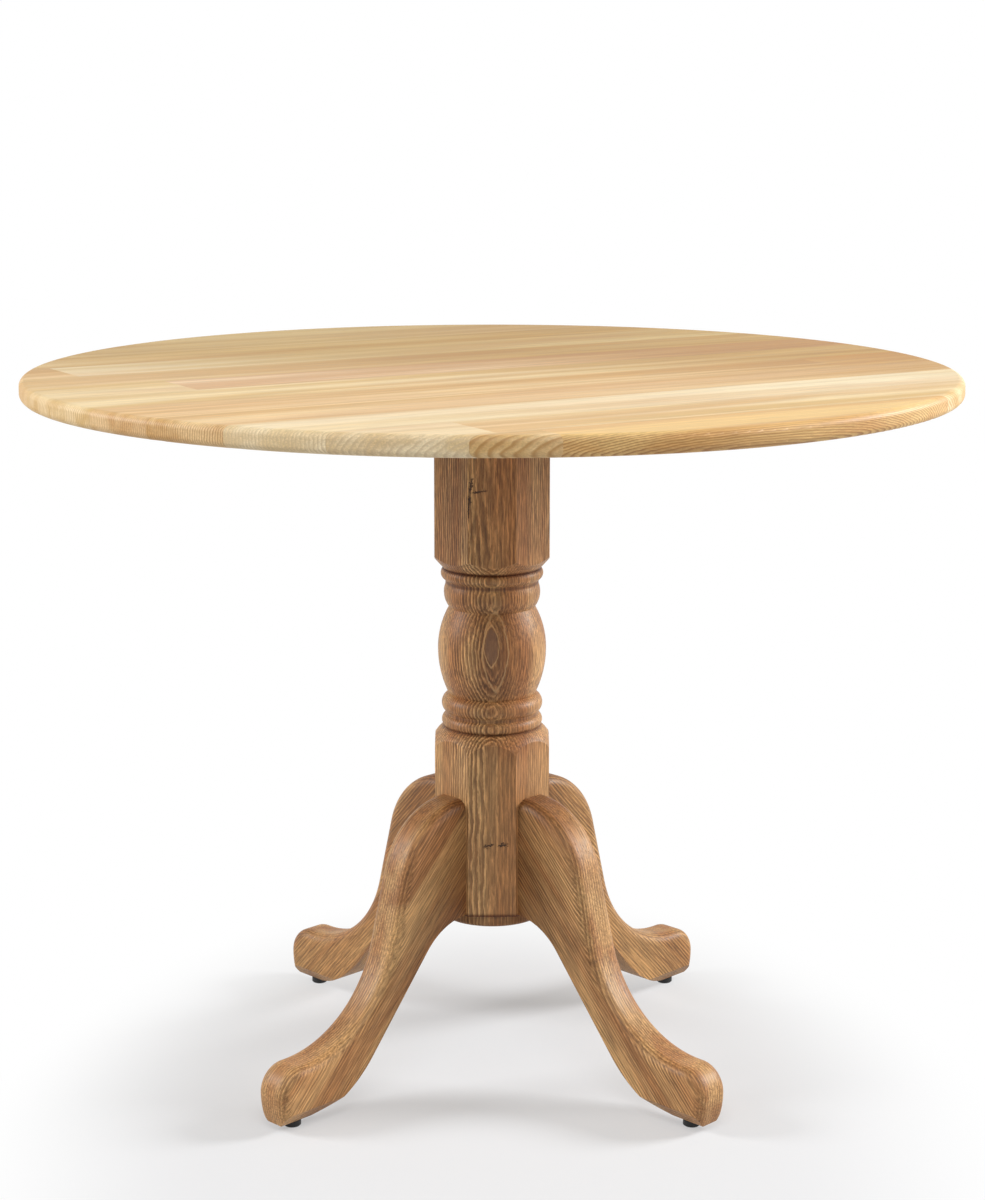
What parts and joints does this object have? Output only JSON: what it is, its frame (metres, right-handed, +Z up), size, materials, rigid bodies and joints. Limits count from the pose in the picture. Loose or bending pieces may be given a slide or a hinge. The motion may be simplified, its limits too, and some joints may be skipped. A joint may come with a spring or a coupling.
{
  "type": "round dining table",
  "caption": "Round wooden dining table with an edge-glued stave top on a turned pedestal column, curved splayed legs and screw-in levelling glides.",
  "frame": {"origin": "on the floor under the middle of the table", "axes": "+Z up, -Y towards the front of the picture, +X to the right of it"},
  "size_m": [1, 1, 0.762],
  "materials": {
    "top_wood": "semi-gloss clear lacquer",
    "base_wood": "satin clear lacquer",
    "hidden_wood": "planed, unfinished",
    "steel": "zinc plated",
    "black_nylon": "moulded, matt"
  },
  "bodies": {
    "table": {"cross_bar_lower": "hidden_wood", "cross_bar_upper": "hidden_wood", "end_cap": "base_wood", "end_cap_screws": "steel", "glide_inserts": "steel", "lag_screws": "steel", "lag_washers": "steel", "leg_back_left": "base_wood", "leg_back_right": "base_wood", "leg_dowels": "hidden_wood", "leg_front_left": "base_wood", "leg_front_right": "base_wood", "leg_hanger_bolts": "steel", "leg_nuts": "steel", "leg_saddle_washers": "steel", "pedestal_column": "base_wood", "top_screws": "steel", "top_stave_01_left": "top_wood", "top_stave_01_right": "top_wood", "top_stave_02_left": "top_wood", "top_stave_02_right": "top_wood", "top_stave_03": "top_wood", "top_stave_04": "top_wood", "top_stave_05_left": "top_wood", "top_stave_05_right": "top_wood", "top_stave_06": "top_wood", "top_stave_07_left": "top_wood", "top_stave_07_right": "top_wood", "top_stave_08": "top_wood", "top_stave_09_left": "top_wood", "top_stave_09_right": "top_wood", "top_stave_10": "top_wood", "top_stave_11": "top_wood", "top_stave_12": "top_wood"},
    "pad_back_right": {"glide_pad_back_right": "black_nylon"},
    "stem_back_right": {"glide_stem_back_right": "steel"},
    "pad_back_left": {"glide_pad_back_left": "black_nylon"},
    "stem_back_left": {"glide_stem_back_left": "steel"},
    "pad_front_left": {"glide_pad_front_left": "black_nylon"},
    "stem_front_left": {"glide_stem_front_left": "steel"},
    "pad_front_right": {"glide_pad_front_right": "black_nylon"},
    "stem_front_right": {"glide_stem_front_right": "steel"}
  },
  "joints": [
    {"name": "glide_travel_back_right", "type": "slide", "parent": "table", "child": "pad_back_right", "axis": [0, 0, -1], "range_m": [0, 0.008]},
    {"name": "glide_turn_back_right", "type": "hinge", "parent": "pad_back_right", "child": "stem_back_right", "pos_m": [0.20647, 0.20647, 0], "axis": [0, 0, -1], "range_deg": [0, 2881]},
    {"name": "glide_travel_back_left", "type": "slide", "parent": "table", "child": "pad_back_left", "axis": [0, 0, -1], "range_m": [0, 0.008]},
    {"name": "glide_turn_back_left", "type": "hinge", "parent": "pad_back_left", "child": "stem_back_left", "pos_m": [-0.20647, 0.20647, 0], "axis": [0, 0, -1], "range_deg": [0, 2881]},
    {"name": "glide_travel_front_left", "type": "slide", "parent": "table", "child": "pad_front_left", "axis": [0, 0, -1], "range_m": [0, 0.008]},
    {"name": "glide_turn_front_left", "type": "hinge", "parent": "pad_front_left", "child": "stem_front_left", "pos_m": [-0.20647, -0.20647, 0], "axis": [0, 0, -1], "range_deg": [0, 2881]},
    {"name": "glide_travel_front_right", "type": "slide", "parent": "table", "child": "pad_front_right", "axis": [0, 0, -1], "range_m": [0, 0.008]},
    {"name": "glide_turn_front_right", "type": "hinge", "parent": "pad_front_right", "child": "stem_front_right", "pos_m": [0.20647, -0.20647, 0], "axis": [0, 0, -1], "range_deg": [0, 2881]}
  ],
  "couplings": [
    {"joint": "glide_turn_back_right", "follows": "glide_travel_back_right", "rad_per_m": 6283.2},
    {"joint": "glide_turn_back_left", "follows": "glide_travel_back_left", "rad_per_m": 6283.2},
    {"joint": "glide_turn_front_left", "follows": "glide_travel_front_left", "rad_per_m": 6283.2},
    {"joint": "glide_turn_front_right", "follows": "glide_travel_front_right", "rad_per_m": 6283.2}
  ]
}
